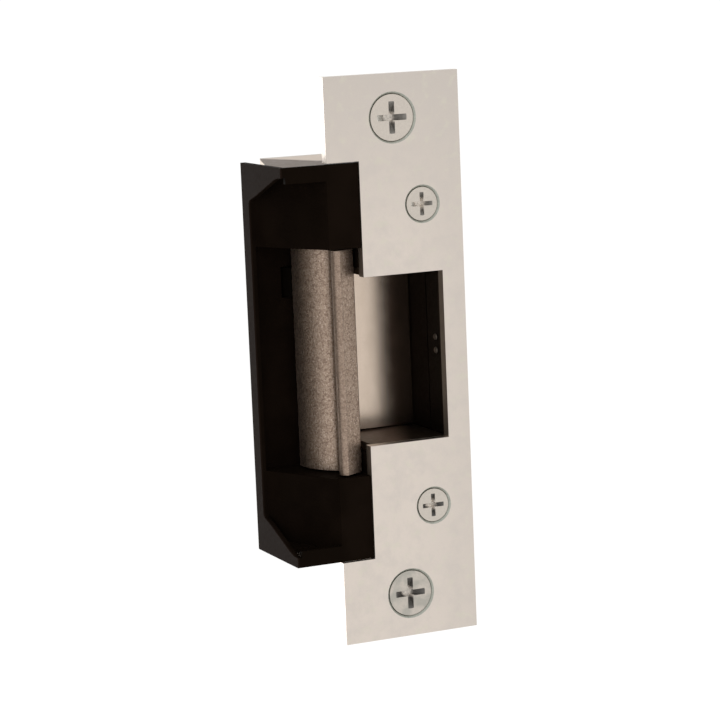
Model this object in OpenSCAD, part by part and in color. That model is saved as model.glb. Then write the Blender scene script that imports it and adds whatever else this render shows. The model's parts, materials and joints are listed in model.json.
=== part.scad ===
// Electric door strike, fail-safe, with a swinging keeper and a solenoid-driven lock lever.
// Frame: millimetres, +Z up along the faceplate, -Y out of the door frame, +X to the right.
// Origin: centre of the faceplate's rear face, the face that seats on the door frame.

/* [Faceplate] */
// Width of the faceplate (1-1/4 in)
plate_w = 31.75; // [31.75:0.05:32]
// Height of the faceplate (4-7/8 in)
plate_h = 123.825; // [123:0.025:125]
// Thickness of the faceplate
plate_t = 2.4; // [2.3:0.05:2.5]
// Left edge of the faceplate beside the keeper
notch_x = -8.3; // [-8.4:0.05:-8.2]
// Half height of the notch that the black lip fills
notch_z = 43.55; // [43.4:0.05:43.8]
// Half height of the latch opening
latch_z = 18.5; // [18.3:0.1:18.6]
// Right edge of the latch opening
latch_x = 10.6; // [10.4:0.1:10.8]

/* [Screws] */
// Spacing of the two frame screws (4-1/8 in)
frame_screw_pitch = 104.775; // [104:0.025:106]
// Head radius of a frame screw
frame_head_r = 5.55; // [5.3:0.05:5.7]
// Shank radius of a frame screw, number 12
frame_shank_r = 2.74; // [2.6:0.01:2.8]
// Length of a frame screw behind the faceplate
frame_screw_len = 16.6; // [12:0.1:25]
// Spacing of the two faceplate screws
plate_screw_pitch = 66.675; // [66:0.025:67.5]
// Distance of the faceplate screws right of the centre line
plate_screw_x = 6.35; // [6:0.05:6.6]
// Head radius of a faceplate screw
plate_head_r = 4.15; // [4.1:0.05:4.2]
// Shank radius of a faceplate screw, number 8
plate_shank_r = 2.08; // [2:0.01:2.08]

/* [Case] */
// Half height of the case
case_z = 43.3; // [43.2:0.05:43.4]
// Thickness of the case's top and bottom plates
case_t = 2.0; // [1.8:0.1:2]
// Right side of the case
case_x = 14.5; // [14.3:0.1:14.8]
// Depth of the case behind the faceplate
case_y = 28.6; // [28.4:0.1:29]
// Thickness of the rear cover
cover_t = 1.5; // [1.4:0.05:1.5]

/* [Keeper] */
// Half height of the keeper
keeper_z = 24.57; // [24.3:0.01:24.6]
// Radius of the keeper's barrel
barrel_r = 4.0; // [3.8:0.05:4]
// Radius of the keeper pin
pin_r = 1.5; // [1.4:0.05:1.5]
// Radial clearance of a running fit
running = 0.05; // [0.03:0.01:0.08]

/* [Lock] */
// Half of the lock lever's swing, in degrees
lever_half_swing = 10; // [9:0.5:10]
// Radius of the plunger
plunger_r = 2.5; // [2.3:0.05:2.5]

/* [Hidden] */
$fn = 64;

sink_slope = tan(41);           // 82 degree countersink
sink_gap = 0.04;                // between a screw head and its countersink
head_drop = 0.3;                // of a screw head below the faceplate's front
head_rim = 0.5;                 // from the countersink's edge in to the head's straight rim
fit_gap = 0.1;                  // between pieces that are assembled face to face
recess_taper = 0.7;             // share of a cross recess's span that is lost by its bottom
small_screw_r = 1.0;            // shank of the lip, cover and solenoid screws
tapped_r = 1.05;                // hole that a small screw is driven into

frame_recess = [7, 1.3, 2.2];   // span, arm width and depth of a cross recess
plate_recess = [5.1, 0.95, 1.9];
plate_screw_len = 8.5;          // behind the faceplate

// Case
inner_z = case_z - case_t;      // underside of the top plate
wall_x = 12.6;                  // inner face of the right wall
front_t = 1.6;                  // front wall behind the faceplate
shelf_t = 1.8;                  // shelves above and below the latch cavity
shelf_y = 20.5;                 // rear edge of the shelves
rib_x = -7.1;                   // left faces of the shelves and of the screw ribs
rib_t = 1.6;
cover_y = case_y - cover_t;     // front face of the rear cover
seat_y = cover_y - 0.05;        // rear edges of the case walls
slant_top = [-25.2, 8.7];       // front end of the case's slanted left edge
slant_end = [-18.7, 28.6];      // rear end of it
left_wall_t = 1.5;
lip_rib_y = 12;                 // rear end of the ribs that hold the lip frame
lip_rib_z = 27.5;
cover_screw_at = [[-15.5, 39.0], [10.6, 23.2]];
cover_boss_r = 2.4;
cover_boss_y = 14;              // front end of the bosses on the right
plate_boss_r = 3.8;
plate_boss_y = 10;              // rear end of the bosses for the faceplate screws
lever_boss = 2.6;               // half width of the boss that carries the lever pin

// Black lip frame
lip_front_y = -2.1;
lip_side_x = -26.5;             // outer face of the side flange
lip_side_t = 1.2;
lip_right_x = -8.45;
lip_rear_y = 20.6;
lip_back_t = 1.3;               // wall behind the keeper
lip_block_z = 25;               // lower face of the upper block
lip_band_t = 1.15;              // front bands above and below the blocks
ramp_front_x = -15.9;           // where the ramp leaves the front face
ramp_rear_y = 17.3;
web_right_x = -7.2;
web_z = 20.4;
lip_screw_y = 6;
lip_screw_z = [31, 38];
slot_gap = 0.15;                // above and below the keeper's tail in the slot
slot_x = -18.65;                // left edge of the slot that the keeper's tail passes through

// Keeper and its spring
axis_x = -13.5;
axis_y = 15;
tail_angle = 115;
tail_r = 8.5;
tail_half = 2;
tail_z = [13, 19.6];
tail_root = 2.4;                // bottom of the pocket that seats the tail
tail_seat = 0.02;               // gap between the tail and its pocket
keeper_right = -8.9;
bead_centre = [-12.9, 0.55];    // rounded bead along the keeper's front edge
bead_r = 1.6;
flank_r = 12.13;                // rounded flank that runs from the barrel to the groove
groove = [[-12.71, 4.6], [-12.75, 3.4], [-13.3, 2.2]];  // between the flank and the bead
spring_start_angle = -35;
bumper_off = tail_half + 0.12;  // from the tail's middle plane to the stop
spring_leg_r = 2.5;             // mean radius of the torsion springs
spring_wire_r = 0.35;
spring_pocket_r = 3.4;
spring_z = [25.9, 32.6];
spring_turns = 6.5;
spring_top_angle = spring_start_angle + 360 * spring_turns;
leg_depth = 2;                  // of the spring's ends in the keeper and in the lip frame

// Latch cavity
cavity_y = 16;
cavity_plate_t = 1;
cavity_plate_x = [-7, 10.75];
cavity_plate_z = 18.05;
liner_x = [10.9, 12.55];
liner_y = [0.1, 22];
liner_line_y = 7;
rivet_y = 2.9;
rivet_z = [3.2, 0.2];
rear_rivet_y = 19;
rear_rivet_z = 12;

// Lock lever: pivot axis along Y
pivot_x = -4.5;
pivot_z = 24;
lever_y = [21.5, 24];
pivot_r = 1.25;
arm_len = 7.5;                  // from the pivot to the plunger's axis
toe_r = 10.5;
cross_pin_r = 0.75;

// Solenoid: vertical axis
coil_x = pivot_x + arm_len;
coil_y = 19.5;
sol_w = 13;
sol_d = 11;
sol_z = [27.6, 41.25];
sol_side_t = 1.1;
sol_end_t = 1.5;
solenoid_screw_at = [[coil_x - 4.2, coil_y - 3.9], [coil_x + 4.2, coil_y + 3.9]];
bobbin_z = [sol_z[0] + sol_end_t + 0.05, sol_z[1] - sol_end_t - 0.05];
bobbin_flange_t = 0.8;
flange_r = 5.3;                 // of the bobbin
bobbin_core_r = 3.2;
winding_r = 5;
bore_r = plunger_r + running;
pole_z = 35;
pin_rest_z = pivot_z - arm_len * tan(lever_half_swing);
plunger_travel = 2 * arm_len * tan(lever_half_swing);
plunger_z = [pin_rest_z - 1.48, 32.1];
return_pocket = 3;
return_pocket_r = 1.75;

// Electrical parts in the lower chamber
block_x = [-4.5, 7.5];
block_y = [11, 18];
block_z = [-41.2, -32.2];
pocket_z = [-38.1, -34.2];      // of a contact in the terminal block
contact_z = [-38, -34.7];
clamp_z = -36.4;                // height of the wire's hole in a contact
pole_x = [-1.5, 4.5];           // the two terminals
pole_y = 14.4;
gland = [1.5, -30];             // X and Z of the cable grommet
gland_r = 2.5;
lead_r = 0.5;
lead_route = [[6.6, 23.3, 30.9], [7.4, 25.8, 29.6], [7.2, 25.9, 27], [6.6, 25.6, 23], [7, 23.6, 18],
              [7.2, 22, 12], [7.2, 21.8, 0], [7.2, 21.8, -14], [6.8, 21.6, -22], [5.2, 21.6, -29],
              [4.5, 21.2, -34.6], [4.5, 19, -36.4], [4.5, 15.2, -36.4]];
black_shift = [[-5, 0.3, 0], [-5.2, 0, 0.2], [-3.6, 0, 0], [-1.4, 0, 0], [-1.4, 0, 0],
               [-1.4, 0, 0], [-1.4, 0, 0], [-1.4, 0, 0], [-2, 0, 0], [-5, 0, 0],
               [-6, 0, 0], [-6, 0, 0], [-6, 0, 0]];

function arc(c, r, a0, a1, n) = [for (i = [0:n]) let (a = a0 + (a1 - a0) * i / n) c + r * [cos(a), sin(a)]];

// A 2D outline in (X, Z), from y0 back to y1
module slab_y(y0, y1) {
    translate([0, y1, 0]) rotate([90, 0, 0]) linear_extrude(y1 - y0) children();
}

// A 2D outline in (Y, Z), from x0 to x1
module slab_x(x0, x1) {
    translate([x0, 0, 0]) rotate([90, 0, 90]) linear_extrude(x1 - x0) children();
}

// A 2D outline in (X, Y), from z0 up to z1
module slab_z(z0, z1) {
    translate([0, 0, z0]) linear_extrude(z1 - z0) children();
}

module block(x, y, z) {
    translate([x[0], y[0], z[0]]) cube([x[1] - x[0], y[1] - y[0], z[1] - z[0]]);
}

module rod_y(x, z, r, y0, y1, r2 = undef) {
    translate([x, y0, z]) rotate([-90, 0, 0]) cylinder(h = y1 - y0, r1 = r, r2 = is_undef(r2) ? r : r2);
}

module rod_z(x, y, r, z0, z1, r2 = undef) {
    translate([x, y, z0]) cylinder(h = z1 - z0, r1 = r, r2 = is_undef(r2) ? r : r2);
}

module rod_x(y, z, r, x0, x1, r2 = undef) {
    translate([x0, y, z]) rotate([0, 90, 0]) cylinder(h = x1 - x0, r1 = r, r2 = is_undef(r2) ? r : r2);
}

// The shape and its mirror image in the lower half
module both_ends() {
    children();
    mirror([0, 0, 1]) children();
}

// ---- Wire: a round tube along a path, with one reference direction for each ring
function unit(v) = v / norm(v);
function tangent(p, i) = unit(p[min(i + 1, len(p) - 1)] - p[max(i - 1, 0)]);
function ring(c, t, ref, r, n) =
    let (u = unit(cross(t, ref)), w = cross(t, u))
    [for (k = [0:n - 1]) c + r * (cos(360 * k / n) * u + sin(360 * k / n) * w)];

module tube(path, refs, r, n = 8) {
    m = len(path);
    points = [for (i = [0:m - 1]) each ring(path[i], tangent(path, i), refs[i], r, n)];
    sides = [for (i = [0:m - 2]) for (k = [0:n - 1])
        [i * n + k, i * n + (k + 1) % n, (i + 1) * n + (k + 1) % n, (i + 1) * n + k]];
    first = [for (k = [n - 1:-1:0]) k];
    last = [for (k = [0:n - 1]) (m - 1) * n + k];
    polyhedron(points, concat([first], sides, [last]), convexity = 8);
}

function blend(a, b, c, d, t) =
    0.5 * (2 * b + (c - a) * t + (2 * a - 5 * b + 4 * c - d) * t * t + (3 * b - a - 3 * c + d) * t * t * t);
function smooth(p, steps) = concat(
    [for (i = [0:len(p) - 2]) for (s = [0:steps - 1])
        blend(p[max(i - 1, 0)], p[i], p[i + 1], p[min(i + 2, len(p) - 1)], s / steps)],
    [p[len(p) - 1]]);

// ---- Faceplate and its screws
// Tapered cross recess in a head whose face is at y0
module cross_recess(x, z, y0, span, arm, depth) {
    over = 0.5;
    slope = recess_taper * span / 2 / depth;
    intersection() {
        rod_y(x, z, span / 2 + slope * over, y0 - over, y0 + depth, span / 2 - slope * depth);
        for (turn = [0, 90]) translate([x, y0, z]) rotate([0, turn, 0])
            translate([-span, -over, -arm / 2]) cube([2 * span, depth + over, arm]);
    }
}

module sink(x, z, head_r) {
    far = 0.5;
    rod_y(x, z, head_r + sink_gap + far * sink_slope, -plate_t - far, far,
          head_r + sink_gap - (plate_t + far) * sink_slope);
}

module faceplate() {
    w = plate_w / 2;
    h = plate_h / 2;
    color("#d8cfc4") difference() {
        slab_y(-plate_t, 0) polygon([
            [-w, -h], [w, -h], [w, h], [-w, h],
            [-w, notch_z], [notch_x, notch_z], [notch_x, latch_z], [latch_x, latch_z],
            [latch_x, -latch_z], [notch_x, -latch_z], [notch_x, -notch_z], [-w, -notch_z]]);
        for (side = [-1, 1]) {
            sink(0, side * frame_screw_pitch / 2, frame_head_r);
            sink(plate_screw_x, side * plate_screw_pitch / 2, plate_head_r);
        }
    }
}

module flat_screw(x, z, head_r, shank_r, length, span, arm, depth) {
    face = head_drop - plate_t;
    rim_r = head_r - head_rim;
    rim_y = head_rim / sink_slope - plate_t;
    point = 0.6;
    difference() {
        union() {
            rod_y(x, z, rim_r, face, rim_y + 0.01);
            rod_y(x, z, rim_r, rim_y, 0, head_r - plate_t * sink_slope);
            rod_y(x, z, shank_r, -0.2, length - point);
            rod_y(x, z, shank_r, length - point, length, shank_r - point);
        }
        cross_recess(x, z, face, span, arm, depth);
    }
}

module frame_screws() {
    color("#cfc8bd") for (side = [-1, 1])
        flat_screw(0, side * frame_screw_pitch / 2, frame_head_r, frame_shank_r, frame_screw_len,
            frame_recess[0], frame_recess[1], frame_recess[2]);
}

module faceplate_screws() {
    color("#cfc8bd") for (side = [-1, 1])
        flat_screw(plate_screw_x, side * plate_screw_pitch / 2, plate_head_r, plate_shank_r, plate_screw_len,
            plate_recess[0], plate_recess[1], plate_recess[2]);
}

// ---- Case
function slant_x(y) =
    slant_top[0] + (slant_end[0] - slant_top[0]) * (y - slant_top[1]) / (slant_end[1] - slant_top[1]);

module end_plate() {
    front = lip_front_y + lip_band_t;
    slab_z(inner_z, case_z) polygon([
        [slant_top[0], front], [lip_right_x - 0.05, front], [lip_right_x - 0.05, 0], [case_x, 0],
        [case_x, seat_y], [slant_x(seat_y), seat_y], slant_top]);
}

module case_half() {
    inside = inner_z + 0.5;
    end_plate();
    block([wall_x, case_x], [0, seat_y], [-0.5, inside]);
    block([rib_x, wall_x + 0.5], [0, front_t], [latch_z, inside]);
    block([rib_x, rib_x + rib_t], [front_t - 0.5, lip_rib_y], [lip_rib_z, inside]);
    rod_y(plate_screw_x, plate_screw_pitch / 2, plate_boss_r, front_t - 0.5, plate_boss_y);
    slab_z(-0.5, inside) polygon([
        [slant_x(lip_rear_y + fit_gap), lip_rear_y + fit_gap], [slant_x(seat_y), seat_y],
        [slant_x(seat_y) + left_wall_t, seat_y],
        [slant_x(lip_rear_y + fit_gap) + left_wall_t, lip_rear_y + fit_gap]]);
    rod_y(cover_screw_at[0][0], cover_screw_at[0][1], cover_boss_r, lip_rear_y + fit_gap, seat_y);
    rod_y(cover_screw_at[1][0], cover_screw_at[1][1], cover_boss_r, cover_boss_y, seat_y);
}

// Shelf beside the latch cavity; the upper one is cut back where the keeper's tail passes
module shelf(tail_gap) {
    slab_z(latch_z, latch_z + shelf_t) polygon([
        [rib_x, front_t - 0.5], [wall_x + 0.5, front_t - 0.5], [wall_x + 0.5, shelf_y],
        [rib_x + tail_gap, shelf_y], [rib_x + tail_gap, cavity_y + 0.9], [rib_x, cavity_y + 0.9]]);
}

module case_holes() {
    rod_y(plate_screw_x, plate_screw_pitch / 2, plate_shank_r + sink_gap, -1, plate_boss_y - 0.8);
    for (z = lip_screw_z) rod_x(lip_screw_y, z, 1.3, rib_x - 1, rib_x + rib_t + 1);
    for (p = cover_screw_at) rod_y(p[0], p[1], tapped_r, 21, cover_y + 1);
}

module body_frame() {
    color("#c9c0b4") difference() {
        union() {
            both_ends() case_half();
            shelf(1.9);
            mirror([0, 0, 1]) shelf(0);
            block([pivot_x - lever_boss, pivot_x + lever_boss], [cavity_y + 1.3, lever_y[0] - 0.3],
                [latch_z + shelf_t - 0.1, pivot_z + 3]);
        }
        both_ends() case_holes();
        rod_y(pivot_x, pivot_z, pivot_r + 0.02, cavity_y, lever_y[0] + 1);
        for (p = solenoid_screw_at) {
            rod_z(p[0], p[1], 1.15, inner_z - 1, case_z + 1);
            rod_z(p[0], p[1], 1.15, case_z - 1.2, case_z + 0.1, 2.45);
        }
    }
}

module rear_cover() {
    rows = [for (p = cover_screw_at) for (side = [-1, 1]) [p[0], side * p[1]]];
    color("#bdb5aa") difference() {
        slab_z(-case_z, case_z) polygon([
            [slant_x(cover_y), cover_y], [slant_x(case_y), case_y], [case_x, case_y], [case_x, cover_y]]);
        for (p = rows) {
            rod_y(p[0], p[1], 1.25, cover_y - 1, case_y + 1);
            rod_y(p[0], p[1], 1.25, case_y - 1.15, case_y + 0.1, 2.5);
        }
        rod_y(gland[0], gland[1], 3.55, cover_y - 1, case_y + 1);
    }
}

module cover_screws() {
    rows = [for (p = cover_screw_at) for (side = [-1, 1]) [p[0], side * p[1]]];
    color("#8f8a84") for (p = rows) difference() {
        union() {
            rod_y(p[0], p[1], small_screw_r, 22, case_y - 0.1);
            rod_y(p[0], p[1], small_screw_r, case_y - 1.25, case_y, 2.3);
        }
        for (turn = [0, 90]) translate([p[0], case_y, p[1]]) rotate([0, turn, 0])
            translate([-1.3, -0.7, -0.3]) cube([2.6, 1.5, 0.6]);
    }
}

// ---- Black lip frame
module flange_outline() {
    edge = [[0, 41], [2, 40.5], [13.1, 36.3], [16.3, 35.3], [16.8, 34.6]];
    difference() {
        polygon([[lip_front_y, -case_z], [lip_rear_y, -case_z], [lip_rear_y, case_z], [lip_front_y, case_z]]);
        polygon(concat([[lip_front_y - 1, 41.2]], edge,
            [for (i = [len(edge) - 1:-1:0]) [edge[i][0], -edge[i][1]]], [[lip_front_y - 1, -41.2]]));
    }
}

module lip_half() {
    side_x = lip_side_x + lip_side_t;
    slab_z(lip_block_z, inner_z - fit_gap) polygon([
        [lip_right_x, lip_front_y], [ramp_front_x, lip_front_y], [side_x - 0.3, ramp_rear_y],
        [side_x - 0.3, lip_rear_y], [lip_right_x, lip_rear_y]]);
    block([side_x - 0.1, lip_right_x], [lip_front_y, lip_front_y + lip_band_t - 0.05],
        [inner_z - 1.5, case_z]);
    block([lip_side_x + 0.5, lip_right_x], [4, lip_rear_y], [inner_z - 0.8, inner_z - fit_gap]);
    block([lip_right_x - 0.5, web_right_x], [0.05, lip_rear_y], [web_z + 4.5, inner_z - fit_gap]);
    block([lip_right_x, web_right_x], [0.05, lip_rear_y], [web_z, web_z + 5]);
}

module lip_frame() {
    back_y = lip_rear_y - lip_back_t;
    leg = spring_leg_r * [cos(spring_top_angle), sin(spring_top_angle)];
    color("#1b1512") difference() {
        union() {
            slab_x(lip_side_x, lip_side_x + lip_side_t) flange_outline();
            both_ends() lip_half();
            block([lip_side_x + 0.5, lip_right_x], [back_y, lip_rear_y],
                [-lip_block_z - 0.5, lip_block_z + 0.5]);
        }
        block([slot_x, lip_right_x + 1], [back_y - 1, lip_rear_y + 1],
            [tail_z[0] - slot_gap, tail_z[1] + slot_gap]);
        rod_z(axis_x, axis_y, pin_r + 0.03, -inner_z, 37);
        both_ends() {
            rod_z(axis_x, axis_y, spring_pocket_r, lip_block_z - 1, spring_z[1] + 0.9);
            rod_z(axis_x + leg[0], axis_y + leg[1], spring_wire_r + 0.12,
                spring_z[1], spring_z[1] + leg_depth + 1.2);
            for (z = lip_screw_z) rod_x(lip_screw_y, z, tapped_r, -14, 0);
        }
    }
}

module lip_screws() {
    head_x = rib_x + rib_t;
    color("#77726c") both_ends() for (z = lip_screw_z) difference() {
        union() {
            rod_x(lip_screw_y, z, small_screw_r, -13.5, head_x + 0.1);
            rod_x(lip_screw_y, z, 2.1, head_x, head_x + 1.3);
        }
        for (turn = [0, 90]) translate([head_x + 1.3, lip_screw_y, z]) rotate([turn, 0, 0])
            translate([-0.7, -1.2, -0.28]) cube([1.5, 2.4, 0.56]);
    }
}

// ---- Keeper, its pin, washers, springs and stop
module keeper_outline() {
    corner_r = 0.95;
    nose = arc(bead_centre, bead_r, 120, 262, 12);
    right = arc([keeper_right - corner_r, 1.65], corner_r, 290, 360, 5);
    flank = arc([axis_x - barrel_r + flank_r, axis_y], flank_r, 180, 230.5, 10);
    polygon(concat(nose, right, [[keeper_right, 12.2], [-9.6, 14.5], [axis_x, axis_y + 1]], flank, groove));
    translate([axis_x, axis_y]) circle(r = barrel_r);
}

module tail_block(root, half, z) {
    translate([axis_x, axis_y, 0]) rotate([0, 0, tail_angle])
        block([root, tail_r], [-half, half], z);
}

module keeper() {
    leg = spring_leg_r * [cos(spring_start_angle), sin(spring_start_angle)];
    color("#968a80") difference() {
        slab_z(-keeper_z, keeper_z) keeper_outline();
        tail_block(tail_root, tail_half + tail_seat, [tail_z[0] - tail_seat, tail_z[1] + tail_seat]);
        rod_z(axis_x, axis_y, pin_r + running, -keeper_z - 1, keeper_z + 1);
        both_ends() rod_z(axis_x + leg[0], axis_y + leg[1], spring_wire_r + 0.12,
            keeper_z - leg_depth - 0.3, keeper_z + 1);
    }
}

// Locking tail, seated in a pocket of the barrel
module keeper_tail() {
    color("#1a1614") tail_block(tail_root + tail_seat, tail_half, tail_z);
}

module keeper_pin() {
    color("#b9b4ac") {
        rod_z(axis_x, axis_y, pin_r, -38.5, 36.3);
        rod_z(axis_x, axis_y, pin_r, 36.3, 36.9, pin_r - 0.5);
    }
}

module keeper_washers() {
    color("#a98d56") both_ends() difference() {
        rod_z(axis_x, axis_y, 2.0, keeper_z + 0.04, lip_block_z - 0.03);
        rod_z(axis_x, axis_y, pin_r + 0.06, keeper_z - 1, lip_block_z + 1);
    }
}

module torsion_spring() {
    per_turn = 16;
    count = round(spring_turns * per_turn);
    helix = [for (i = [0:count]) [spring_start_angle + 360 * i / per_turn,
        spring_z[0] + (spring_z[1] - spring_z[0]) * i / count]];
    route = concat(
        [[spring_start_angle, keeper_z - leg_depth + 0.2], [spring_start_angle, spring_z[0] - 0.8]],
        helix, [[spring_top_angle, spring_z[1] + 0.8], [spring_top_angle, spring_z[1] + leg_depth]]);
    path = [for (p = route) [axis_x + spring_leg_r * cos(p[0]), axis_y + spring_leg_r * sin(p[0]), p[1]]];
    refs = [for (p = route) [cos(p[0]), sin(p[0]), 0]];
    tube(path, refs, spring_wire_r);
}

module keeper_spring_upper() {
    color("#8d8f92") torsion_spring();
}

module keeper_spring_lower() {
    color("#8d8f92") mirror([0, 0, 1]) torsion_spring();
}

// Rubber stop on the case's left wall, parallel to the tail at rest
module keeper_bumper() {
    front = lip_rear_y + 0.15;
    rear = front + 1.0;
    face = [for (y = [front, rear])
        let (r = (y - axis_y + bumper_off * cos(180 - tail_angle)) / sin(tail_angle))
        axis_x + r * cos(tail_angle) - bumper_off * sin(tail_angle)];
    wall = [for (y = [front, rear]) slant_x(y) + left_wall_t + 0.03];
    color("#26221f") slab_z(tail_z[0] + 0.3, tail_z[1] - 0.3)
        polygon([[wall[0], front], [face[0], front], [face[1], rear], [wall[1], rear]]);
}

// ---- Latch cavity
module cavity_back() {
    flange_t = 1.1;
    color("#d6cbbd") difference() {
        union() {
            block(cavity_plate_x, [cavity_y, cavity_y + cavity_plate_t], [-cavity_plate_z, cavity_plate_z]);
            block([cavity_plate_x[1] - flange_t, cavity_plate_x[1]], [cavity_y + 0.5, 21],
                [-cavity_plate_z, cavity_plate_z]);
        }
        both_ends() rod_x(rear_rivet_y, rear_rivet_z, 0.85, 8, 12);
    }
}

module cavity_liner() {
    line = 0.4;
    color("#14100e") difference() {
        block(liner_x, liner_y, [-latch_z + 0.15, latch_z - 0.15]);
        block([liner_x[0] - 1, liner_x[0] + line], [liner_line_y, liner_line_y + line],
            [-latch_z - 1, latch_z + 1]);
        for (z = rivet_z) rod_x(rivet_y, z, 0.55, liner_x[0] - 1, liner_x[1] + 1);
        both_ends() rod_x(rear_rivet_y, rear_rivet_z, 0.85, liner_x[0] - 1, liner_x[1] + 1);
    }
}

module liner_rivets() {
    color("#8a837b") {
        for (z = rivet_z) {
            rod_x(rivet_y, z, 0.53, liner_x[0] - 0.1, liner_x[1]);
            rod_x(rivet_y, z, 0.6, liner_x[0] - 0.35, liner_x[0] - 0.02, 0.75);
        }
        both_ends() {
            rod_x(rear_rivet_y, rear_rivet_z, 0.8, 9.5, liner_x[1]);
            rod_x(rear_rivet_y, rear_rivet_z, 1.2, 8.9, 9.62, 1.5);
        }
    }
}

// ---- Solenoid
module solenoid_frame() {
    half = sol_w / 2;
    color("#a7a39b") difference() {
        block([coil_x - half, coil_x + half], [coil_y - sol_d / 2, coil_y + sol_d / 2], sol_z);
        block([coil_x - half + sol_side_t, coil_x + half - sol_side_t], [coil_y - sol_d, coil_y + sol_d],
            [sol_z[0] + sol_end_t, sol_z[1] - sol_end_t]);
        rod_z(coil_x, coil_y, bore_r, sol_z[0] - 1, sol_z[1] + 1);
        for (p = solenoid_screw_at) rod_z(p[0], p[1], tapped_r, sol_z[1] - sol_end_t - 1, sol_z[1] + 1);
    }
}

module solenoid_pole() {
    color("#8f8b85") rod_z(coil_x, coil_y, plunger_r, pole_z, sol_z[1] - 0.05);
}

module solenoid_screws() {
    color("#8f8a84") for (p = solenoid_screw_at) difference() {
        union() {
            rod_z(p[0], p[1], small_screw_r, sol_z[1] - sol_end_t + 0.1, case_z - 0.1);
            rod_z(p[0], p[1], small_screw_r, case_z - 1.2, case_z, 2.2);
        }
        for (turn = [0, 90]) translate([p[0], p[1], case_z]) rotate([0, 0, turn])
            translate([-1.3, -0.3, -0.7]) cube([2.6, 0.6, 1.5]);
    }
}

module coil_bobbin() {
    color("#e6e1d4") difference() {
        union() {
            rod_z(coil_x, coil_y, bobbin_core_r, bobbin_z[0], bobbin_z[1]);
            rod_z(coil_x, coil_y, flange_r, bobbin_z[0], bobbin_z[0] + bobbin_flange_t);
            rod_z(coil_x, coil_y, flange_r, bobbin_z[1] - bobbin_flange_t, bobbin_z[1]);
        }
        rod_z(coil_x, coil_y, bore_r, bobbin_z[0] - 1, bobbin_z[1] + 1);
    }
}

module coil_winding() {
    color("#8c4a23") difference() {
        rod_z(coil_x, coil_y, winding_r, bobbin_z[0] + bobbin_flange_t + 0.02,
            bobbin_z[1] - bobbin_flange_t - 0.02);
        rod_z(coil_x, coil_y, bobbin_core_r + 0.02, bobbin_z[0], bobbin_z[1]);
    }
}

module plunger() {
    color("#b4b0a8") difference() {
        union() {
            rod_z(coil_x, coil_y, plunger_r, plunger_z[0] + 0.4, plunger_z[1]);
            rod_z(coil_x, coil_y, plunger_r - 0.4, plunger_z[0], plunger_z[0] + 0.4, plunger_r);
        }
        rod_z(coil_x, coil_y, return_pocket_r, plunger_z[1] - return_pocket, plunger_z[1] + 1);
        block([coil_x - 4, coil_x + 4], [lever_y[0] - 0.2, lever_y[1]], [plunger_z[0] - 1, 25.2]);
        rod_y(coil_x, pin_rest_z, cross_pin_r + 0.01, coil_y - 4, coil_y + 4);
    }
}

module plunger_spring() {
    turns = 5;
    per_turn = 18;
    mean_r = 1.35;
    wire = 0.2;
    low = plunger_z[1] - return_pocket + wire + 0.03;
    high = pole_z - wire - 0.03;
    count = turns * per_turn;
    path = [for (i = [0:count]) let (a = 360 * i / per_turn)
        [coil_x + mean_r * cos(a), coil_y + mean_r * sin(a), low + (high - low) * i / count]];
    refs = [for (i = [0:count]) let (a = 360 * i / per_turn) [cos(a), sin(a), 0]];
    color("#9a9c9f") tube(path, refs, wire);
}

module plunger_pin() {
    color("#cfcac2") {
        rod_y(coil_x, pin_rest_z, cross_pin_r, coil_y - 1.8, lever_y[1] + 0.2);
        rod_y(coil_x, pin_rest_z, 1.25, lever_y[1] + 0.15, lever_y[1] + 0.9);
    }
}

// ---- Lock lever, drawn level about its pivot and then turned to the released position
module lever_outline() {
    tip = arm_len / cos(lever_half_swing);
    difference() {
        union() {
            circle(r = 3);
            polygon([[-8.5, -1.8], [0, -2.4], [arm_len, -1.9], [arm_len, 1.9], [0, 2.6], [-8.5, 1.9]]);
            translate([arm_len + 0.05, 0]) circle(r = 2);
            intersection() {
                circle(r = toe_r, $fn = 180);
                polygon([[-11, 1.9], [-11, -5.6], [-9, -5.4], [-7, -5.05], [-6.6, -1.2], [-6.6, 1.9]]);
            }
        }
        for (x = [arm_len - 0.12, tip + 0.05]) translate([x, 0]) circle(r = cross_pin_r + running);
        translate([arm_len - 0.12, -cross_pin_r - running])
            square([tip - arm_len + 0.17, 2 * (cross_pin_r + running)]);
    }
}

module lock_lever() {
    color("#c2b8a8") translate([pivot_x, 0, pivot_z]) rotate([0, lever_half_swing, 0]) difference() {
        slab_y(lever_y[0], lever_y[1]) lever_outline();
        rod_y(0, 0, pivot_r + running, lever_y[0] - 1, lever_y[1] + 1);
    }
}

module lever_pin() {
    color("#b9b4ac") difference() {
        union() {
            rod_y(pivot_x, pivot_z, pivot_r, 17.6, lever_y[1] + 0.2);
            rod_y(pivot_x, pivot_z, 2.3, lever_y[1] + 0.15, lever_y[1] + 1.2);
        }
        translate([pivot_x - 3, lever_y[1] + 0.7, pivot_z - 0.3]) cube([6, 1, 0.6]);
    }
}

// ---- Electrical parts
module cable_grommet() {
    color("#1d1b1a") difference() {
        union() {
            rod_y(gland[0], gland[1], 4.6, cover_y - 1.1, cover_y - 0.05);
            rod_y(gland[0], gland[1], 3.5, cover_y - 0.2, case_y + 0.2);
            rod_y(gland[0], gland[1], 4.6, case_y + 0.05, case_y + 0.6);
            rod_y(gland[0], gland[1], 4.6, case_y + 0.6, case_y + 1.2, 4.0);
        }
        rod_y(gland[0], gland[1], gland_r, cover_y - 3, case_y + 3);
    }
}

module terminal_block() {
    color("#3f6f52") difference() {
        block(block_x, block_y, block_z);
        for (x = pole_x) {
            block([x - 2.2, x + 2.2], [block_y[0] + 1.1, block_y[1] + 1], pocket_z);
            rod_z(x, pole_y, 1.8, pocket_z[1] - 0.4, block_z[1] + 1);
        }
    }
}

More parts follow.
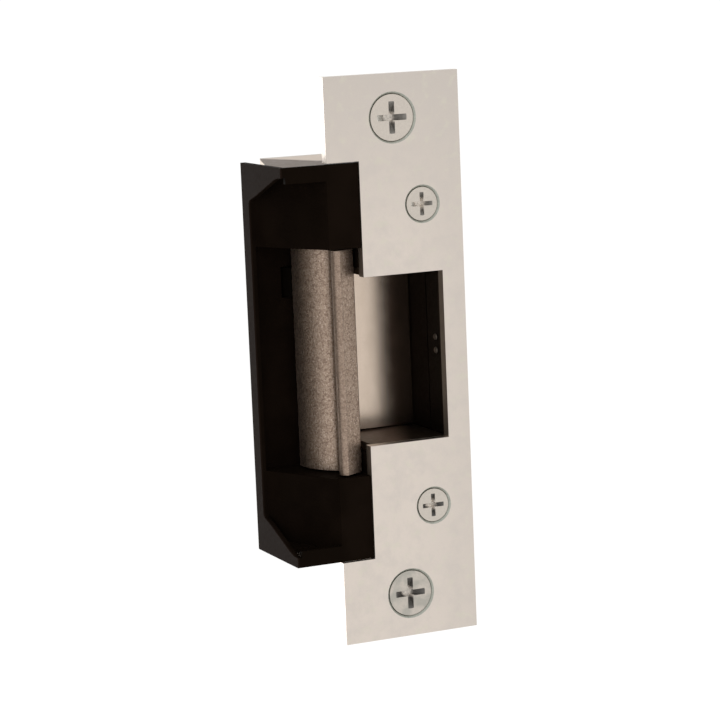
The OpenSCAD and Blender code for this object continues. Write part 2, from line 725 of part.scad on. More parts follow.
module terminal_contacts() {
    color("#c6a550") for (x = pole_x) difference() {
        block([x - 2.1, x + 2.1], [block_y[0] + 1.2, block_y[1] - 1.6], contact_z);
        rod_y(x, clamp_z, 0.9, block_y[0], block_y[1]);
        rod_z(x, pole_y, 1.0, clamp_z - 0.6, contact_z[1] + 0.7);
    }
}

module terminal_screws() {
    screw_top = contact_z[1] + 1.5;
    color("#a9a59d") for (x = pole_x) difference() {
        union() {
            rod_z(x, pole_y, 0.95, contact_z[1] - 0.6, contact_z[1] + 0.3);
            rod_z(x, pole_y, 1.6, contact_z[1] + 0.1, screw_top);
        }
        block([x - 2, x + 2], [pole_y - 0.25, pole_y + 0.25], [screw_top - 0.6, screw_top + 1]);
    }
}

module varistor() {
    centre = [1.5, -26.2];
    color("#2f6fa8") {
        rod_y(centre[0], centre[1], 3.1, 15.2, 17.4);
        for (side = [-1, 1]) rod_z(centre[0] + 1.25 * side, 16.3, 0.3, block_z[1] - 0.02, centre[1] - 2.5);
    }
}

module lead(route) {
    path = smooth(route, 3);
    tube(path, [for (p = path) [1, 0, 0]], lead_r);
}

module lead_red() {
    color("#a8261c") lead(lead_route);
}

module lead_black() {
    color("#1a1a1a") lead([for (i = [0:len(lead_route) - 1]) lead_route[i] + black_shift[i]]);
}

faceplate();
frame_screws();
faceplate_screws();
body_frame();
rear_cover();
cover_screws();
lip_frame();
lip_screws();
keeper();
keeper_tail();
keeper_pin();
keeper_washers();
keeper_spring_upper();
keeper_spring_lower();
keeper_bumper();
cavity_back();
cavity_liner();
liner_rivets();
solenoid_frame();
solenoid_pole();
solenoid_screws();
coil_bobbin();
coil_winding();
plunger();
plunger_spring();
plunger_pin();
lock_lever();
lever_pin();
cable_grommet();
terminal_block();
terminal_contacts();
terminal_screws();
varistor();
lead_red();
lead_black();
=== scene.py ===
"""Looks of the electric door strike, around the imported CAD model. Metres, +Z up, -Y is the front."""
import json
import math

import bmesh
import bpy
from mathutils import Matrix, Vector


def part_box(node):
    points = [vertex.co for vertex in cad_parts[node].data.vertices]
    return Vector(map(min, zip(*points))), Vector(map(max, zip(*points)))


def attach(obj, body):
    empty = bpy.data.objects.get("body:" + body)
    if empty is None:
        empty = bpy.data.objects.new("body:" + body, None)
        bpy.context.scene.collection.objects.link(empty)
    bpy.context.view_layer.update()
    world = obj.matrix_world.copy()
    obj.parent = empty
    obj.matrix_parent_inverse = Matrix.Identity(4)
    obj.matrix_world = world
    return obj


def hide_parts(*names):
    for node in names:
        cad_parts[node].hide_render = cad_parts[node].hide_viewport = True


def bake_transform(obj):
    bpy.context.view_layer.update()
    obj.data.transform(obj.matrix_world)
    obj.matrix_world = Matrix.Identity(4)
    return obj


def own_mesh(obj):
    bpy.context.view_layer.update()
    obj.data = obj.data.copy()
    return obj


MM = 0.001
CAMERA_PLACE = (-236.99, -516.90, 86.74)        # mm
CAMERA_AZIMUTH, CAMERA_ELEVATION, CAMERA_ROLL = 23.81, 8.67, -2.40   # degrees
CAMERA_LENS, CAMERA_SHIFT_Y = 131.65, -0.0018   # mm on a 36 mm sensor, and a share of its width
FLOOR_Z, FLOOR_HALF = -0.45, 12                 # m
NARROW = 0.06                   # mm, the broken edge of a piece with no width of its own
FRAME_THREAD = (2.74, 1.058)    # mm, the radius and pitch of a 12-24 screw
PLATE_THREAD = (2.08, 0.794)    # mm, of an 8-32 screw
WIRE_BUILD = 0.32               # mm, one turn of the coil's wire

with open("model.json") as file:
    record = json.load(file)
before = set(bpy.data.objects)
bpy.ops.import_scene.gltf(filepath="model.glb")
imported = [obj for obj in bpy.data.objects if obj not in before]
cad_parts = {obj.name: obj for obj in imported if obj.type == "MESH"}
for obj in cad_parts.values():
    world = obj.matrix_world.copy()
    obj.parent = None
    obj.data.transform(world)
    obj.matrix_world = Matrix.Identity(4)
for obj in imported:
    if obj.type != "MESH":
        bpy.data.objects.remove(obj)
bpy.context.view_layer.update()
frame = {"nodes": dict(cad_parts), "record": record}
nodes = frame["nodes"]
bodies = frame["record"]["behaviour"]["bodies"]
body_of_node = {node: body for body, members in bodies.items() for node in members}


# ---- Camera, floor and light
def camera():
    """A long lens to the left of the plate and a little above it, turned slightly about its axis."""
    azimuth, elevation = math.radians(CAMERA_AZIMUTH), math.radians(CAMERA_ELEVATION)
    roll = math.radians(CAMERA_ROLL)
    forward = Vector((math.sin(azimuth) * math.cos(elevation),
                      math.cos(azimuth) * math.cos(elevation),
                      -math.sin(elevation)))
    level = Vector((math.cos(azimuth), -math.sin(azimuth), 0))
    upright = level.cross(forward)
    right = math.cos(roll) * level + math.sin(roll) * upright
    up = -math.sin(roll) * level + math.cos(roll) * upright
    data = bpy.data.cameras.new("camera")
    data.sensor_width = 36
    data.lens = CAMERA_LENS
    data.shift_y = CAMERA_SHIFT_Y
    data.clip_start = 0.01
    ob = bpy.data.objects.new("camera", data)
    turn = Matrix((right, up, -forward)).transposed().to_4x4()
    ob.matrix_world = Matrix.Translation(Vector(CAMERA_PLACE) * MM) @ turn
    bpy.context.scene.collection.objects.link(ob)
    bpy.context.scene.camera = ob


def area_light(name, place, target, size, watts):
    data = bpy.data.lights.new(name, "AREA")
    data.shape = "RECTANGLE"
    data.size, data.size_y = size
    data.energy = watts
    ob = bpy.data.objects.new(name, data)
    ob.location = place
    ob.rotation_euler = (Vector(target) - Vector(place)).to_track_quat("-Z", "Y").to_euler()
    bpy.context.scene.collection.objects.link(ob)


def card(name, corners, colour):
    """A flat stage card; the strike's metal shows it as a reflection."""
    mesh = bpy.data.meshes.new(name)
    mesh.from_pydata(corners, [], [(0, 1, 2, 3)])
    ob = bpy.data.objects.new(name, mesh)
    bpy.context.scene.collection.objects.link(ob)
    paint = bpy.data.materials.new(name + "_paint")
    paint.use_nodes = True
    shader = paint.node_tree.nodes["Principled BSDF"]
    shader.inputs["Base Color"].default_value = (*colour, 1)
    shader.inputs["Roughness"].default_value = 0.95
    shader.inputs["Specular IOR Level"].default_value = 0
    mesh.materials.append(paint)


def studio():
    """An even white room: its walls are the world, and its floor is well below the strike."""
    world = bpy.data.worlds.new("studio")
    world.use_nodes = True
    background = world.node_tree.nodes["Background"]
    background.inputs["Color"].default_value = (1.0, 0.995, 0.985, 1)
    background.inputs["Strength"].default_value = 1.06
    bpy.context.scene.world = world
    bpy.context.scene.view_settings.view_transform = "Standard"
    area_light("rear panel", (-0.50, 1.10, -0.10), (0, 0, -0.02), (1.1, 0.9), 5.6)
    x, near_y, far_y, low_z, high_z = -0.62, -0.02, 0.62, -0.44, 0.55
    flag = [(x, near_y, low_z), (x, far_y, low_z), (x, far_y, high_z), (x, near_y, high_z)]
    card("left flag", flag, (0.09, 0.08, 0.07))
    corners = ((-1, -1), (1, -1), (1, 1), (-1, 1))
    floor = [(side * FLOOR_HALF, end * FLOOR_HALF, FLOOR_Z) for side, end in corners]
    card("floor", floor, (0.98, 0.98, 0.98))


# ---- Materials
class Surface:
    """A Principled material with object coordinates in millimetres and a few ways to vary it."""

    def __init__(self, name, colour, roughness, metallic=0.0):
        self.material = bpy.data.materials.new(name)
        self.material.use_nodes = True
        self.tree = self.material.node_tree
        self.shader = self.tree.nodes["Principled BSDF"]
        self.shader.inputs["Base Color"].default_value = (*colour, 1)
        self.shader.inputs["Roughness"].default_value = roughness
        self.shader.inputs["Metallic"].default_value = metallic
        self.coords = self.add("ShaderNodeTexCoord")
        self.colour = None
        self.normal = None
        self.base = colour

    def add(self, kind, **settings):
        node = self.tree.nodes.new(kind)
        for key, value in settings.items():
            setattr(node, key, value)
        return node

    def link(self, a, b):
        self.tree.links.new(a, b)

    def noise(self, scale, detail=2.0, rough=0.5):
        """Noise with a period of 1/scale mm, the same along each axis or one scale for each."""
        if isinstance(scale, (int, float)):
            scale = (scale, scale, scale)
        mapping = self.add("ShaderNodeMapping")
        mapping.inputs["Scale"].default_value = [s / MM for s in scale]
        self.link(self.coords.outputs["Object"], mapping.inputs["Vector"])
        noise = self.add("ShaderNodeTexNoise")
        noise.inputs["Scale"].default_value = 1.0
        noise.inputs["Detail"].default_value = detail
        noise.inputs["Roughness"].default_value = rough
        self.link(mapping.outputs["Vector"], noise.inputs["Vector"])
        return noise.outputs["Fac"]

    def ramp(self, value, low, high, low_out, high_out):
        """A value from low to high turned into one from low_out to high_out, and held beyond them."""
        ranged = self.add("ShaderNodeMapRange")
        ranged.inputs["From Min"].default_value = low
        ranged.inputs["From Max"].default_value = high
        ranged.inputs["To Min"].default_value = low_out
        ranged.inputs["To Max"].default_value = high_out
        self.link(value, ranged.inputs["Value"])
        return ranged.outputs["Result"]

    def tint(self, factor, other):
        """Mixes the colour so far with another where factor is high."""
        mix = self.add("ShaderNodeMix", data_type="RGBA")
        if self.colour is None:
            mix.inputs["A"].default_value = (*self.base, 1)
        else:
            self.link(self.colour, mix.inputs["A"])
        mix.inputs["B"].default_value = (*other, 1)
        self.link(factor, mix.inputs["Factor"])
        self.colour = mix.outputs["Result"]
        self.link(self.colour, self.shader.inputs["Base Color"])

    def gloss(self, noise, rough_low, rough_high):
        """Roughness that wanders between two values with a noise."""
        rough = self.ramp(noise, 0.3, 0.7, rough_low, rough_high)
        self.link(rough, self.shader.inputs["Roughness"])

    def metal_share(self, value, low_out, high_out):
        """Metallic from one share to another as the value goes from 0 to 1."""
        self.link(self.ramp(value, 0, 1, low_out, high_out), self.shader.inputs["Metallic"])

    def bump(self, value, height_mm):
        """Relief of a height, on top of any before it."""
        bump = self.add("ShaderNodeBump")
        bump.inputs["Distance"].default_value = height_mm * MM
        bump.inputs["Strength"].default_value = 1.0
        self.link(value, bump.inputs["Height"])
        if self.normal is not None:
            self.link(self.normal, bump.inputs["Normal"])
        self.normal = bump.outputs["Normal"]
        self.link(self.normal, self.shader.inputs["Normal"])

    def along(self, axis):
        """The object coordinate along one axis, in millimetres."""
        split = self.add("ShaderNodeSeparateXYZ")
        self.link(self.coords.outputs["Object"], split.inputs["Vector"])
        scale = self.add("ShaderNodeMath", operation="MULTIPLY")
        scale.inputs[1].default_value = 1 / MM
        self.link(split.outputs[axis], scale.inputs[0])
        return scale.outputs[0]

    def calc(self, operation, a, b=0):
        """One arithmetic step on sockets or numbers; some operations take only the first."""
        step = self.add("ShaderNodeMath", operation=operation)
        for index, value in enumerate((a, b)):
            if isinstance(value, (int, float)):
                step.inputs[index].default_value = value
            else:
                self.link(value, step.inputs[index])
        return step.outputs[0]


def satin_plate():
    """Satin stainless steel: fine grain, faint clouds, and painted shade on its cut edge at the
    cavity's right.
    """
    s = Surface("satin_plate", (0.67, 0.60, 0.54), 0.34, 1.0)
    dim = (0.56, 0.51, 0.465)
    s.tint(s.ramp(s.along("Z"), 22, 62, 0, 0.9), dim)
    s.tint(s.ramp(s.along("X"), 1, 16, 0, 0.45), dim)
    s.tint(s.ramp(s.noise(0.28, 4, 0.65), 0.42, 0.66, 0, 0.5), (0.57, 0.52, 0.48))
    s.tint(s.ramp(s.noise(0.45, 2), 0.55, 0.7, 0, 0.4), (0.63, 0.60, 0.50))
    s.tint(s.ramp(s.noise(4, 2), 0.45, 0.75, 0, 0.10), (0.50, 0.45, 0.40))
    s.gloss(s.noise(0.4, 3), 0.30, 0.38)
    s.bump(s.noise(5, 2), 0.006)
    # Painted shade: left-facing cut faces right of X -12 mm turn dark and less metallic.
    geometry = s.add("ShaderNodeNewGeometry")
    split = s.add("ShaderNodeSeparateXYZ")
    s.link(geometry.outputs["Normal"], split.inputs["Vector"])
    faces_left = s.ramp(split.outputs["X"], -0.6, -0.9, 0, 1)
    past_notch = s.ramp(s.along("X"), -12, -10, 0, 1)
    edge = s.calc("MULTIPLY", faces_left, past_notch)
    s.tint(edge, (0.075, 0.06, 0.047))
    s.metal_share(edge, 1, 0.3)
    return s.material


def cavity_steel():
    """Smooth satin steel that mirrors the cavity's mouth softly, with a painted shadow, brown to dark,
    on its right.
    """
    s = Surface("cavity_steel", (0.63, 0.52, 0.43), 0.21, 1.0)
    s.tint(s.ramp(s.noise((0.5, 0.5, 0.08), 3), 0.35, 0.7, 0, 0.35), (0.52, 0.42, 0.33))
    s.tint(s.ramp(s.noise(3, 2), 0.4, 0.7, 0, 0.12), (0.40, 0.31, 0.24))
    # Painted shadow of the plate's right edge: the right of the back wall is tinted brown, then dark.
    wavy = s.calc("ADD", s.along("X"), s.calc("MULTIPLY", s.noise((0.25, 0.25, 0.12), 3), 2.0))
    s.tint(s.ramp(wavy, 5.2, 7.6, 0, 0.75), (0.25, 0.14, 0.09))
    s.tint(s.ramp(wavy, 6.8, 9.0, 0, 1), (0.27, 0.18, 0.13))
    s.gloss(s.noise(0.3, 2), 0.20, 0.235)
    s.bump(s.noise(1.5, 2), 0.0004)
    return s.material


def brushed_metal(name, colour, roughness, grain, bump_mm=0.01, lower_grey=0):
    """Metal with a grain, finest along the largest scale's axes; lower_grey greys it below Z 0."""
    s = Surface(name, colour, roughness, 1.0)
    dark = [c * 0.72 for c in colour]
    s.tint(s.ramp(s.noise(grain, 4, 0.6), 0.35, 0.75, 0, 0.45), dark)
    s.tint(s.ramp(s.noise(0.2, 3), 0.4, 0.7, 0, 0.3), [c * 0.85 for c in colour])
    # Greyer in patches below Z 0.
    if lower_grey:
        patches = s.ramp(s.noise(0.35, 3), 0.42, 0.60, 0.25, 1)
        below = s.ramp(s.along("Z"), 10, -10, 0, lower_grey)
        s.tint(s.calc("MULTIPLY", below, patches), (0.34, 0.335, 0.30))
    s.gloss(s.noise(grain, 3), roughness * 0.85, roughness * 1.25)
    s.bump(s.noise(grain, 3), bump_mm)
    return s.material


def blasted_metal():
    """Bead-blasted cast steel: a pitted, speckled grey-brown skin, with painted shade on the left of
    its front bead.
    """
    s = Surface("blasted_metal", (0.41, 0.312, 0.242), 0.4, 1.0)
    s.tint(s.ramp(s.noise(1.7, 3, 0.75), 0.44, 0.60, 0, 0.8), (0.20, 0.135, 0.10))
    s.tint(s.ramp(s.noise(3.2, 2, 0.6), 0.54, 0.68, 0, 0.75), (0.68, 0.55, 0.46))
    # Painted shade on the left of the front bead, toning down its highlight.
    left, front = (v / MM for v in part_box("keeper")[0][:2])
    near_front = s.ramp(s.along("Y"), front + 3.6, front + 2.8, 0, 0.5)
    near_left = s.ramp(s.along("X"), left + 5.2, left + 4.0, 0, 1)
    s.tint(s.calc("MULTIPLY", near_front, near_left), (0.21, 0.155, 0.12))
    s.gloss(s.noise(2.4, 2), 0.33, 0.51)
    s.bump(s.noise(2.0, 3, 0.7), 0.06)
    return s.material


def recess_metal(name, middle_x, top_z):
    """A cross recess: painted highlights at its axis and in the upper screw's left arm, darker below Z
    0.
    """
    s = Surface(name, (0.22, 0.205, 0.185), 0.5, 0.2)
    dx = s.calc("SUBTRACT", s.along("X"), middle_x)
    dz = s.calc("SUBTRACT", s.calc("ABSOLUTE", s.along("Z")), top_z)
    out = s.calc("SQRT", s.calc("ADD", s.calc("MULTIPLY", dx, dx), s.calc("MULTIPLY", dz, dz)))
    # Painted highlight on the left arm of the upper screw's recess.
    left_arm = s.ramp(dx, -0.9, -1.6, 0, 0.85)
    painted_arm_highlight = s.calc("MULTIPLY", left_arm, s.ramp(s.along("Z"), -10, 10, 0, 1))
    s.tint(painted_arm_highlight, (0.72, 0.69, 0.63))
    s.tint(s.ramp(s.along("Z"), 10, -10, 0, 0.8), (0.07, 0.065, 0.06))
    # Painted highlight at the recess's axis.
    s.tint(s.ramp(out, 1.5, 0.9, 0, 1), (0.95, 0.88, 0.80))
    s.tint(s.ramp(s.noise(2, 3), 0.4, 0.7, 0, 0.4), (0.13, 0.125, 0.115))
    s.gloss(s.noise(2, 2), 0.42, 0.6)
    s.bump(s.noise(4, 2), 0.006)
    return s.material


def black_paint(name, colour, roughness, specular):
    """Black paint or oxide that reflects a little brown. Returns the Surface, for more tints."""
    s = Surface(name, colour, roughness)
    s.shader.inputs["Specular IOR Level"].default_value = specular
    s.shader.inputs["Specular Tint"].default_value = (1.0, 0.82, 0.68, 1)
    s.tint(s.ramp(s.noise(0.15, 3), 0.4, 0.7, 0, 0.5), [c * 1.5 for c in colour])
    s.gloss(s.noise(1.5, 2), roughness * 0.92, roughness * 1.1)
    s.bump(s.noise(4, 2, 0.6), 0.008)
    return s


def lip_paint():
    """Black paint, with a painted brown sheen on the outer side of the flange."""
    s = black_paint("lip_black", (0.0050, 0.0031, 0.0020), 0.5, 0.006)
    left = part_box("lip_frame")[0][0] / MM
    s.tint(s.ramp(s.noise((0.12, 0.12, 0.10), 3), 0.45, 0.62, 0, 0.45), (0.0090, 0.0055, 0.0037))
    # Painted sheen: the outer side face of the flange is tinted a lighter brown black.
    s.tint(s.ramp(s.along("X"), left + 0.5, left + 0.1, 0, 1), (0.0130, 0.0080, 0.0058))
    return s.material


def enamelled_wire():
    """Close turns of lacquered copper wire, drawn as ridges around the coil, with painted shade
    between them.
    """
    s = Surface("enamelled_wire", (0.50, 0.17, 0.055), 0.26, 1.0)
    turn = s.calc("MULTIPLY", s.along("Z"), 2 * math.pi / WIRE_BUILD)
    ridge = s.calc("SINE", turn)
    # Painted shade in the valleys between turns.
    s.tint(s.ramp(ridge, -1, 0.2, 0.8, 0), (0.16, 0.045, 0.015))
    s.tint(s.ramp(s.noise((0.6, 0.6, 2), 3), 0.4, 0.7, 0, 0.4), (0.38, 0.11, 0.03))
    s.gloss(s.noise(2, 2), 0.22, 0.34)
    s.bump(ridge, 0.05)
    return s.material


def moulded(name, colour, roughness, bump_mm=0.01):
    """Moulded plastic or rubber with a faint mottle."""
    s = Surface(name, colour, roughness)
    s.tint(s.ramp(s.noise(0.6, 3), 0.4, 0.7, 0, 0.4), [c * 0.8 for c in colour])
    s.gloss(s.noise(2, 3), roughness * 0.85, roughness * 1.2)
    s.bump(s.noise(5, 3), bump_mm)
    return s.material


def case_alloy():
    """Die-cast alloy, with painted shade on the front left of its end faces and painted shade and
    light on its faces in the latch cavity.
    """
    s = Surface("case_alloy", (0.56, 0.50, 0.44), 0.30, 1.0)
    s.shader.inputs["Specular Tint"].default_value = (0.9, 0.84, 0.78, 1)
    s.shader.inputs["Specular IOR Level"].default_value = 0.02
    x, y, z = s.along("X"), s.along("Y"), s.along("Z")
    across = s.calc("ADD", s.calc("MULTIPLY", x, 2.5), y)
    wavy = s.calc("ADD", across, s.calc("MULTIPLY", s.noise(0.12, 1), 8.0))
    height = s.calc("ABSOLUTE", z)
    end_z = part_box("body_frame")[1][2] / MM
    on_end = (height, end_z - 0.4, end_z - 0.1)
    # Painted shade: the front left of the end faces turns dark brown and loses its metal.
    end_face_painted_shade = s.calc("MULTIPLY", s.ramp(wavy, -13, -19, 0, 1), s.ramp(*on_end, 0, 1))
    s.tint(s.ramp(s.noise(0.5, 3), 0.4, 0.7, 0, 0.3), (0.46, 0.40, 0.34))
    s.tint(s.ramp(*on_end, 0, 0.5), (0.46, 0.385, 0.33))
    s.tint(end_face_painted_shade, (0.105, 0.069, 0.045))
    # Painted shade in the latch cavity: the case faces there are darkened, and painted light lifts
    # them from X -6.5 mm rightwards.
    between_walls = s.calc("MULTIPLY", s.ramp(x, 13.8, 13.2, 0, 1), s.ramp(x, -13, -12, 0, 1))
    inside = s.calc("MULTIPLY", s.ramp(height, 21.2, 20.6, 0, 1), between_walls)
    s.tint(inside, (0.066, 0.046, 0.032))
    s.tint(s.calc("MULTIPLY", inside, s.ramp(x, -6.5, -2, 0, 0.8)), (0.15, 0.10, 0.074))
    # Painted shadow of the plate, darkest at the cavity's deep right.
    deep_right = s.calc("SUBTRACT", x, s.calc("MULTIPLY", y, 0.43))
    s.tint(s.calc("MULTIPLY", inside, s.ramp(deep_right, -1.5, 2.6, 0, 1)), (0.017, 0.012, 0.008))
    # Where the shade is painted, the metal share drops to 0.
    painted_shade_no_metal = s.calc("MAXIMUM", s.calc("MULTIPLY", end_face_painted_shade, 0.95), s.calc("MULTIPLY", inside, 0.8))
    s.metal_share(painted_shade_no_metal, 1, 0)
    s.gloss(s.noise(0.8, 3), 0.29, 0.36)
    s.bump(s.noise(3, 3), 0.006)
    return s.material


def materials():
    """The material of every node, and of the faceplate's countersinks."""
    fine = (4, 4, 4)
    along_x = (0.5, 8, 8)
    along_z = (8, 8, 0.5)
    turned = (0.8, 8, 0.8)
    return {
        "faceplate": satin_plate(),
        "frame_screws": brushed_metal("screw_nickel", (0.60, 0.545, 0.485), 0.34, fine, 0.004, 0.7),
        "faceplate_screws": brushed_metal("screw_nickel_small", (0.59, 0.54, 0.48), 0.34, fine,
                                          0.004),
        # Greyer, rougher metal on the faceplate's countersink cones.
        "countersink": brushed_metal("countersink_grey", (0.46, 0.47, 0.42), 0.5, fine, 0.004),
        "body_frame": case_alloy(),
        "rear_cover": brushed_metal("cover_steel", (0.52, 0.49, 0.46), 0.38, along_z),
        "cover_screws": brushed_metal("screw_zinc", (0.42, 0.41, 0.39), 0.35, fine),
        "lip_frame": lip_paint(),
        "lip_screws": brushed_metal("lip_screw_zinc", (0.40, 0.39, 0.37), 0.35, fine),
        "keeper": blasted_metal(),
        "keeper_tail": black_paint("tail_oxide", (0.0026, 0.0018, 0.0012), 0.5, 0.03).material,
        "keeper_pin": brushed_metal("pin_ground", (0.56, 0.55, 0.53), 0.22, (6, 6, 0.8)),
        "keeper_washers": brushed_metal("bronze", (0.55, 0.38, 0.18), 0.35, fine),
        "keeper_spring_upper": brushed_metal("spring_wire", (0.32, 0.32, 0.33), 0.3, fine),
        "keeper_spring_lower": brushed_metal("spring_wire_lower", (0.32, 0.32, 0.33), 0.3, fine),
        "keeper_bumper": moulded("bumper_rubber", (0.018, 0.017, 0.016), 0.75, 0.02),
        "cavity_back": cavity_steel(),
        # Painted shade: a black liner stands in for the shadow on the cavity's right wall.
        "cavity_liner": black_paint("liner_painted_shade_black", (0.0022, 0.0013, 0.0008), 0.5, 0.03).material,
        "liner_rivets": brushed_metal("rivet_steel", (0.10, 0.085, 0.07), 0.5, fine),
        "solenoid_frame": brushed_metal("solenoid_zinc", (0.50, 0.49, 0.45), 0.35, along_z),
        "solenoid_pole": brushed_metal("pole_steel", (0.42, 0.41, 0.39), 0.3, (6, 6, 1.5)),
        "solenoid_screws": brushed_metal("solenoid_screw_zinc", (0.44, 0.42, 0.40), 0.35, fine),
        "coil_bobbin": moulded("bobbin_nylon", (0.76, 0.71, 0.60), 0.5),
        "coil_winding": enamelled_wire(),
        "plunger": brushed_metal("plunger_steel", (0.50, 0.49, 0.47), 0.25, (1.2, 1.2, 9)),
        "plunger_spring": brushed_metal("return_wire", (0.36, 0.36, 0.37), 0.3, fine),
        "plunger_pin": brushed_metal("cross_pin_steel", (0.56, 0.55, 0.53), 0.25, turned),
        "lock_lever": brushed_metal("lever_steel", (0.50, 0.46, 0.40), 0.36, along_x),
        "lever_pin": brushed_metal("lever_pin_steel", (0.52, 0.51, 0.48), 0.26, turned),
        "cable_grommet": moulded("grommet_rubber", (0.016, 0.015, 0.015), 0.6, 0.02),
        "terminal_block": moulded("terminal_nylon", (0.03, 0.13, 0.06), 0.4),
        "terminal_contacts": brushed_metal("contact_brass", (0.62, 0.45, 0.18), 0.3, fine),
        "terminal_screws": brushed_metal("terminal_nickel", (0.55, 0.53, 0.50), 0.28, fine),
        "varistor": moulded("varistor_epoxy", (0.02, 0.09, 0.30), 0.22),
        "lead_red": moulded("lead_red_pvc", (0.42, 0.02, 0.015), 0.35),
        "lead_black": moulded("lead_black_pvc", (0.012, 0.012, 0.012), 0.35),
    }


# ---- Geometry: a CAD node's shape with its edges broken
def softened(node, edge_mm, material, reshape=None, weld_mm=0.0001, bend=None):
    """A copy of a CAD node with its flat faces merged and its edges rounded; it stands for the node.
    """
    mesh = nodes[node].data.copy()
    mesh.name = node + "_body"
    mesh.materials.clear()
    mesh.materials.append(material)
    bm = bmesh.new()
    bm.from_mesh(mesh)
    bmesh.ops.remove_doubles(bm, verts=bm.verts, dist=weld_mm * MM)
    bmesh.ops.dissolve_limit(bm, angle_limit=math.radians(0.6), verts=bm.verts, edges=bm.edges,
                             delimit={"NORMAL"})
    for face in bm.faces:
        face.material_index = 0
        face.smooth = True
    if reshape:
        reshape(bm, mesh)
    bm.to_mesh(mesh)
    bm.free()
    ob = bpy.data.objects.new(node + "_body", mesh)
    bpy.context.scene.collection.objects.link(ob)
    bevel = ob.modifiers.new("edges", "BEVEL")
    bevel.width = edge_mm * MM
    bevel.segments = 2
    bevel.limit_method = "ANGLE"
    bevel.angle_limit = math.radians(32)
    bevel.use_clamp_overlap = True
    shade = ob.modifiers.new("shade", "WEIGHTED_NORMAL")
    shade.mode = "FACE_AREA"
    shade.weight = 80
    shade.keep_sharp = True
    if bend:
        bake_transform(ob)
    else:
        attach(ob, body_of_node[node])
    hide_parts(node)
    return ob


def threaded_shank(bm, centre, start, length, radius, pitch):
    """A rolled thread along +Y, chamfered at both ends; all lengths in millimetres."""
    columns, per_pitch, depth = 36, 10, 0.60 * pitch
    root = radius - depth
    rows = int(length / pitch * per_pitch)
    rings = []
    for row in range(rows + 1):
        y = start + length * row / rows
        ring = []
        for column in range(columns):
            angle = 2 * math.pi * column / columns
            phase = (y / pitch - column / columns) % 1.0
            crest = max(0.0, min(1.0, 1.25 - 2.5 * abs(phase - 0.5)))
            r = radius - depth * (1 - crest)
            r = min(r, root + (start + length - y) * 0.9)
            r = min(r, root + (y - start) * 1.5)
            x, z = centre[0] + r * math.cos(angle), centre[1] + r * math.sin(angle)
            ring.append(bm.verts.new((x * MM, y * MM, z * MM)))
        rings.append(ring)
    for low, high in zip(rings, rings[1:]):
        for i in range(columns):
            j = (i + 1) % columns
            bm.faces.new((low[i], high[i], high[j], low[j])).smooth = True
    bm.faces.new(rings[-1])
    bm.faces.new(list(reversed(rings[0])))


def screw_axes(node):
    """A pair of screws' X, their distance from Z 0 and the radius of their heads, in millimetres."""
    low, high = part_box(node)
    head_r = (high[0] - low[0]) / 2 / MM
    return (low[0] + high[0]) / 2 / MM, high[2] / MM - head_r, head_r


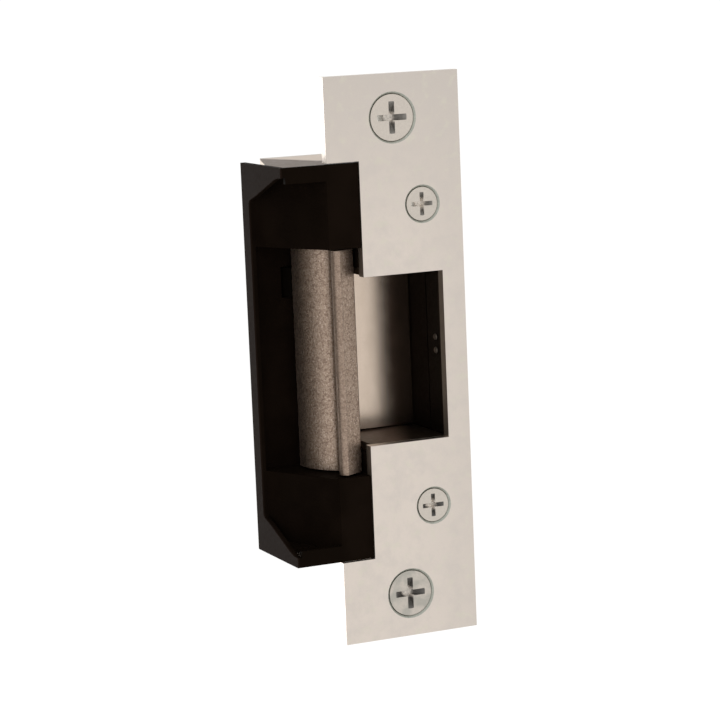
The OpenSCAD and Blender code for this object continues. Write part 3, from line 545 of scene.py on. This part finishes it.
def flat_head_screws(node, material, thread):
    """Heads from the CAD node, with darkened recesses, on shanks that show their thread."""
    middle_x, top_z, head_r = screw_axes(node)
    low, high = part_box(node)
    tip = high[1] / MM
    face = low[1] / MM
    cut_y = 0.5                 # the CAD shank is cut away behind this plane
    lap = 0.3                   # and the threaded one starts this far in front of it

    def reshape(bm, mesh):
        mesh.materials.append(recess_metal(node + "_recess", middle_x, top_z))
        bmesh.ops.bisect_plane(bm, geom=bm.verts[:] + bm.edges[:] + bm.faces[:], clear_outer=True,
                               plane_co=(0, cut_y * MM, 0), plane_no=(0, 1, 0))
        rim = [e for e in bm.edges
               if e.is_boundary and all(abs(v.co.y - cut_y * MM) < 1e-6 for v in e.verts)]
        bmesh.ops.holes_fill(bm, edges=rim, sides=0)
        for f in bm.faces:
            centre = f.calc_center_median() / MM
            side = 1 if centre.z > 0 else -1
            out = math.hypot(centre.x - middle_x, centre.z - side * top_z)
            depth = centre.y - face
            in_cone = out < min(0.8 * head_r - 0.87 * depth, 0.72 * head_r)
            if 0.05 < depth < 2.35 and in_cone:
                f.material_index = 1
        for side in (1, -1):
            threaded_shank(bm, (middle_x, side * top_z), cut_y - lap, tip - cut_y + lap, *thread)

    softened(node, 0.12, material, reshape=reshape, weld_mm=0.015)


def springs(looks):
    """The torsion springs and the return spring as softened copies; the torsion springs are baked in
    place, not attached to a body.
    """
    low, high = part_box("keeper_pin")
    x, y = (low[0] + high[0]) / 2, (low[1] + high[1]) / 2
    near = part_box("keeper")[1][2] + 0.4 * MM        # past the leg in the keeper
    leg = 2.0 * MM                                  # of the end in the case
    for node, side in (("keeper_spring_upper", 1), ("keeper_spring_lower", -1)):
        far = max(abs(z) for z in (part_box(node)[0][2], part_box(node)[1][2])) - leg
        softened(node, NARROW, looks.pop(node),
                 bend=("keeper", "case", (x, y, side * near), (x, y, side * far)))
    wire = softened("plunger_spring", NARROW, looks.pop("plunger_spring"))
    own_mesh(wire)


def pieces():
    """Every node's visual piece. edges holds the widths, in millimetres, that aren't NARROW."""
    looks = materials()
    edges = {
        "body_frame": 0.15,
        "rear_cover": 0.18,
        "lip_frame": 0.1,
        "keeper": 0.22,
        "keeper_tail": 0.2,
        "cavity_back": 0.12,
        "cavity_liner": 0.08,
        "lock_lever": 0.15,
        "terminal_block": 0.25,
        "solenoid_frame": 0.15,
        "cable_grommet": 0.15,
        "keeper_bumper": 0.15,
    }
    countersink = looks.pop("countersink")

    def darken_countersinks(bm, mesh):
        mesh.materials.append(countersink)
        for f in bm.faces:
            centre = f.calc_center_median() / MM
            for x, z, head_r in (screw_axes("frame_screws"), screw_axes("faceplate_screws")):
                beside_head = math.hypot(centre.x - x, abs(centre.z) - z) < head_r + 1
                if beside_head and 0.2 < -f.normal.y < 0.95:
                    f.material_index = 1

    softened("faceplate", 0.08, looks.pop("faceplate"), reshape=darken_countersinks)
    flat_head_screws("frame_screws", looks.pop("frame_screws"), FRAME_THREAD)
    flat_head_screws("faceplate_screws", looks.pop("faceplate_screws"), PLATE_THREAD)
    springs(looks)
    for node, material in looks.items():
        softened(node, edges.get(node, NARROW), material)


camera()
studio()
pieces()
